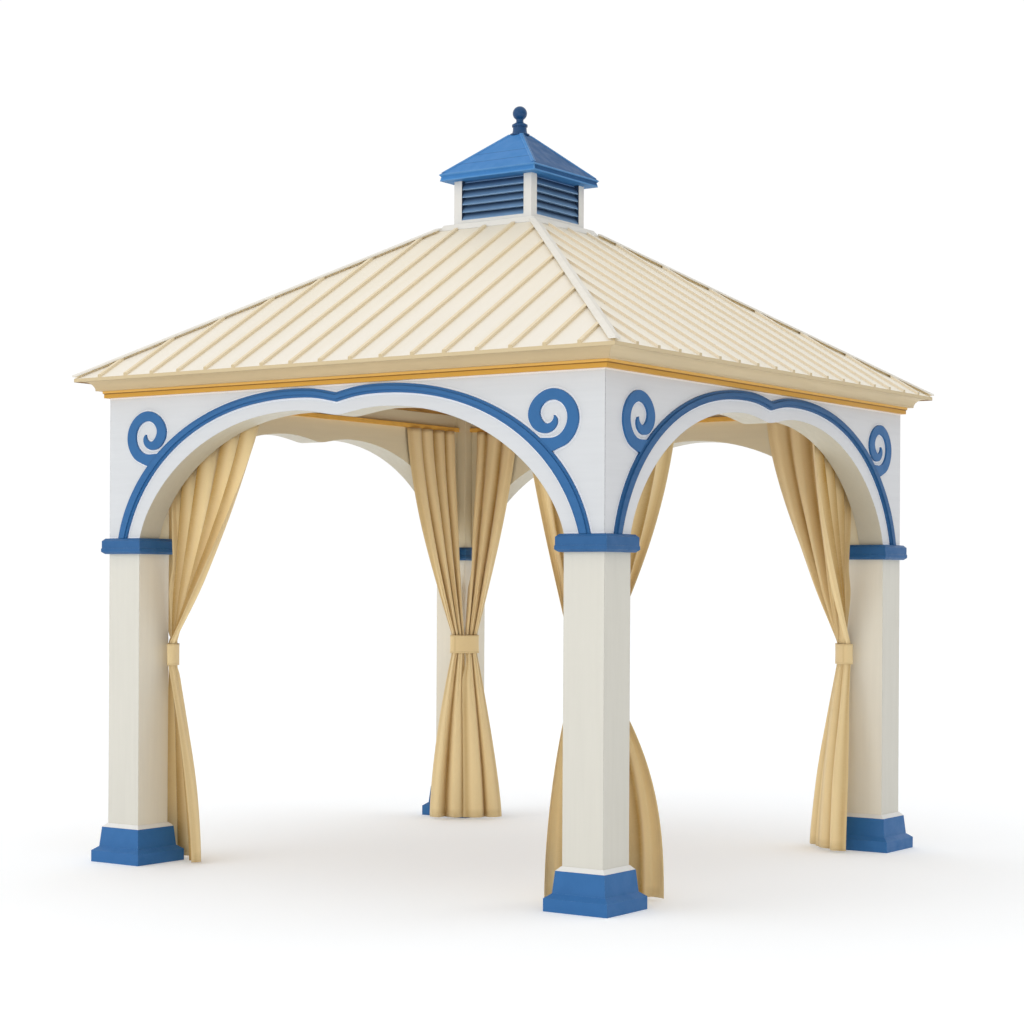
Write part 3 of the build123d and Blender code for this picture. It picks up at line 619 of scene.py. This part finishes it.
def panel_point(across, down, corner, on_side_wall, upper, lower):
    """Place of a point of the cloth, and how far out on a fold it lies."""
    sx, sy = CORNERS[corner]
    tables = (SPANS, HEM_SPANS, HEM_TURNS, FALLS, FLARES, LAGS)
    span, hem_span, turn, fall_power, flare_power, lag = [table[corner][1 if on_side_wall else 0] for table in tables]
    height = CLOTH_TOP + (HEM_HEIGHT - CLOTH_TOP) * down
    inward = Vector((-sx, -sy, 0)) / math.sqrt(2)
    sideways = Vector((sx, -sy, 0)) / math.sqrt(2) * (1 if on_side_wall else -1)
    out = WALL_INNER - RAIL_STAND_OFF
    along = RAIL_START - span * across
    hung = Vector((sx * out, sy * along, 0)) if on_side_wall else Vector((sx * along, sy * out, 0))
    away = Vector((-sx, 0, 0)) if on_side_wall else Vector((0, -sy, 0))
    corner_line = Vector((sx, sy, 0))
    tied = corner_line * BUNCH_CENTRE + sideways * (BUNCH_SPLIT + across * (BUNCH_WIDTH / 2 - BUNCH_MARGIN))
    tied -= inward * HUG * across ** 2
    let_out = corner_line * HEM_CENTRE + sideways * (HEM_SPLIT + across * (hem_span - HEM_MARGIN))
    let_out -= inward * turn * across
    fall = min(1.0, (CLOTH_TOP - height) / (CLOTH_TOP - TIE_TOP))
    drop = min(1.0, max(0.0, (TIE_FOOT - height) / (TIE_FOOT - HEM_HEIGHT)))
    tight = ease((fall - 0.55) / 0.45) * (1 - ease(drop / 0.4))
    change = ease((TIE_TOP - height) / TIE_HEIGHT)
    wave = upper.at(across, down, tight) * (1 - change) + lower.at(across, down, tight) * change
    clear = max(0.0, height - TIE_TOP, TIE_FOOT - height)
    room = TIE_ROOM + FREE_ROOM * ease((clear - ROOM_START) / ROOM_RUN)
    wave = max(-room, min(room, wave))
    if drop <= 0:
        near_post = (1 - across) ** 4
        share = fall ** (fall_power + lag * near_post)
        base = hung.lerp(tied, share)
        limit = CAPITAL_LIMIT + POST_GAIN * ease((POST_GAIN_TOP - height) / POST_GAIN_RUN)
        if on_side_wall:
            base.y = sy * min(abs(base.y), limit)
        else:
            base.x = sx * min(abs(base.x), limit)
        shift = EDGE_SHIFT * near_post * ease((EDGE_SHIFT_TOP - height) / EDGE_SHIFT_RUN)
        base -= inward * shift * (1 - ease((fall - 0.95) / 0.05))
        facing = away.lerp(inward, ease(share))
        reach = RAIL_REACH + SWELL_REACH * ease(fall / 0.6) - SQUEEZE_REACH * ease((fall - 0.72) / 0.28)
    else:
        share = 1 - (1 - drop) ** flare_power
        base = tied.lerp(let_out, share)
        facing = inward
        lift = (1 - across) ** 3 * ease(drop / 0.06)
        lap = (1 - across) ** 3 * ease((drop - 0.03) / 0.15)
        reach = (TIE_REACH + HEM_REACH * ease(drop / 0.7)) * (1 - LAP_CALM * lift)
        if on_side_wall == (corner in SIDE_OVER):
            base += inward * LAP_LIFT * lift - sideways * LAP_WIDTH * lap
    place = base + facing.normalized() * reach * wave
    return Vector((place.x, place.y, height)), wave


def line_length(points):
    """Length of a line through some points."""
    return sum((b - a).length for a, b in zip(points, points[1:]))


def new_piece(name, form, finish, thickness, offset):
    """Object of a finished form, smooth, with a cloth thickness."""
    bmesh.ops.recalc_face_normals(form, faces=form.faces)
    mesh = bpy.data.meshes.new(name)
    form.to_mesh(mesh)
    form.free()
    mesh.shade_smooth()
    mesh.materials.append(finish)
    piece = bpy.data.objects.new(name, mesh)
    scene.collection.objects.link(piece)
    layer = piece.modifiers.new("thickness", "SOLIDIFY")
    layer.thickness, layer.offset = thickness, offset
    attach(piece, "root")
    return piece


def cloth_panel(corner, on_side_wall, seed):
    """One curtain panel as a sheet with the cloth's own coordinates kept for its weave."""
    span = SPANS[corner][1 if on_side_wall else 0]
    hem_span = HEM_SPANS[corner][1 if on_side_wall else 0]
    upper = Folds(max(3, round(span / FOLD_WIDTH)), FOLD_CREST, seed)
    lower = Folds(max(2, round(hem_span / HEM_FOLD_WIDTH)), HEM_FOLD_CREST, seed + 100)
    grid = [
        [
            panel_point(column / COLUMNS, row / ROWS, corner, on_side_wall, upper, lower)
            for column in range(COLUMNS + 1)
        ]
        for row in range(ROWS + 1)
    ]
    width = sum(line_length([p for p, _ in grid[row]]) for row in (0, ROWS // 4, ROWS // 2)) / 3
    length = line_length([row[COLUMNS // 2][0] for row in grid])
    form = bmesh.new()
    layers = {key: form.verts.layers.float.new(key) for key in ("across", "down", "fold", "hem")}
    lines = []
    for row, points in enumerate(grid):
        line = []
        for column, (place, wave) in enumerate(points):
            vert = form.verts.new(place)
            edge = min(column, COLUMNS - column) / COLUMNS * width
            vert[layers["across"]] = column / COLUMNS * width
            vert[layers["down"]] = row / ROWS * length
            # Painted light along the side edges of each panel, carried in the fold attribute
            vert[layers["fold"]] = wave + EDGE_LIGHT * (1 - ease(edge / EDGE_LIGHT_WIDTH))
            in_hem = (ROWS - row) / ROWS * length < HEM_STRIP or edge < EDGE_STRIP
            vert[layers["hem"]] = 1.0 if in_hem else 0.0
            line.append(vert)
        lines.append(line)
    for above, below in zip(lines, lines[1:]):
        for quad in zip(above, above[1:], below[1:], below):
            form.faces.new(quad)
    name = f"cloth_{corner}_{'side' if on_side_wall else 'end'}"
    panel = new_piece(name, form, curtain_cloth, CLOTH_THICKNESS, 0.0)
    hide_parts(f"curtain_{corner}")


for number, corner in enumerate(CORNERS):
    cloth_panel(corner, False, 11 + number)
    cloth_panel(corner, True, 31 + number)


def tie_band(corner):
    """Flat cloth band round the bunch, with a lapped end and stitched edges."""
    sx, sy = CORNERS[corner]
    inward = Vector((-sx, -sy, 0)) / math.sqrt(2)
    sideways = Vector((sx, -sy, 0)) / math.sqrt(2)
    form = bmesh.new()
    layers = {key: form.verts.layers.float.new(key) for key in ("across", "down", "fold", "hem")}
    around, rows, power = 96, 16, 4.0
    half_width, half_depth = BUNCH_WIDTH / 2 + BAND_GAP, BUNCH_DEPTH / 2 + BAND_GAP
    girth = 4 * (half_width + half_depth) * 0.93
    lines = []
    for row in range(rows + 1):
        down = row / rows
        line = []
        for step in range(around):
            angle = 2 * math.pi * step / around
            cosine, sine = math.cos(angle), math.sin(angle)
            scale = (abs(cosine) ** power + abs(sine) ** power) ** (-1 / power)
            pull = 1 - 0.02 * math.sin(math.pi * down) + 0.006 * math.sin(4 * angle + 3 * down)
            place = Vector((sx * BUNCH_CENTRE, sy * BUNCH_CENTRE, TIE_CENTRE + TIE_HEIGHT * (0.5 - down)))
            place += sideways * half_width * scale * cosine * pull + inward * half_depth * scale * sine * pull
            place -= inward * HUG * (scale * cosine) ** 2
            vert = form.verts.new(place)
            vert[layers["across"]] = girth * step / around
            vert[layers["down"]] = TIE_HEIGHT * down
            vert[layers["fold"]] = 0.5
            vert[layers["hem"]] = 1.0 if min(down, 1 - down) < 0.07 or step in (13, 14) else 0.0
            line.append(vert)
        lines.append(line)
    for above, below in zip(lines, lines[1:]):
        for step in range(around):
            following = (step + 1) % around
            form.faces.new((above[step], below[step], below[following], above[following]))
    band = new_piece(f"tie_{corner}", form, curtain_cloth, BAND_THICKNESS, 1.0)
    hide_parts("curtain_ties")


for corner in CORNERS:
    tie_band(corner)
